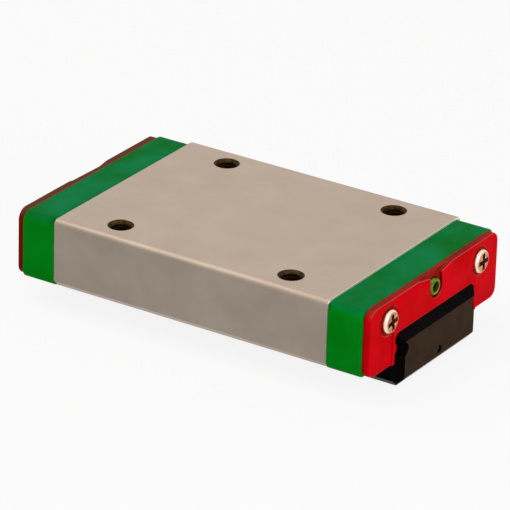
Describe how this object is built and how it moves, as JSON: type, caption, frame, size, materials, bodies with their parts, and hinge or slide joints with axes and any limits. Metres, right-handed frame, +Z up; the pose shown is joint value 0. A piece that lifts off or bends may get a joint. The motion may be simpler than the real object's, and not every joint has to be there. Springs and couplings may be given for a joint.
{
  "type": "miniature linear guide",
  "caption": "Wide miniature ball guide: steel carriage with moulded end caps, end seals and tapped top holes, sliding on a short plastic carrying rail.",
  "frame": {"origin": "middle of the rail's base, under the middle of the carriage", "axes": "+X along the travel towards the front end cap, +Y to the left side, +Z up through the tapped top face"},
  "size_m": [0.0516, 0.03, 0.012],
  "materials": {
    "block_steel": "fine ground, satin",
    "cap_plastic": "moulded, satin",
    "seal_plastic": "moulded, satin",
    "rail_plastic": "moulded, glossy sides",
    "screw_steel": "bright plated",
    "guide_plastic": "moulded",
    "wire_steel": "bright drawn",
    "ball_steel": "polished"
  },
  "bodies": {
    "rail": {"dummy_rail": "rail_plastic"},
    "carriage": {"carriage_block": "block_steel", "end_cap_front": "cap_plastic", "end_seal_front": "seal_plastic", "end_screws_front": "screw_steel", "return_guide_front_left": "guide_plastic", "return_guide_front_right": "guide_plastic", "end_cap_rear": "cap_plastic", "end_seal_rear": "seal_plastic", "end_screws_rear": "screw_steel", "return_guide_rear_left": "guide_plastic", "return_guide_rear_right": "guide_plastic", "ball_retainer_left": "wire_steel", "loaded_balls_left": "ball_steel", "front_turn_balls_left": "ball_steel", "return_balls_left": "ball_steel", "rear_turn_balls_left": "ball_steel", "ball_retainer_right": "wire_steel", "loaded_balls_right": "ball_steel", "front_turn_balls_right": "ball_steel", "return_balls_right": "ball_steel", "rear_turn_balls_right": "ball_steel"}
  },
  "joints": [
    {"name": "carriage_slide", "type": "slide", "parent": "rail", "child": "carriage", "axis": [1, 0, 0], "range_m": [-0.052, 0.052]}
  ]
}
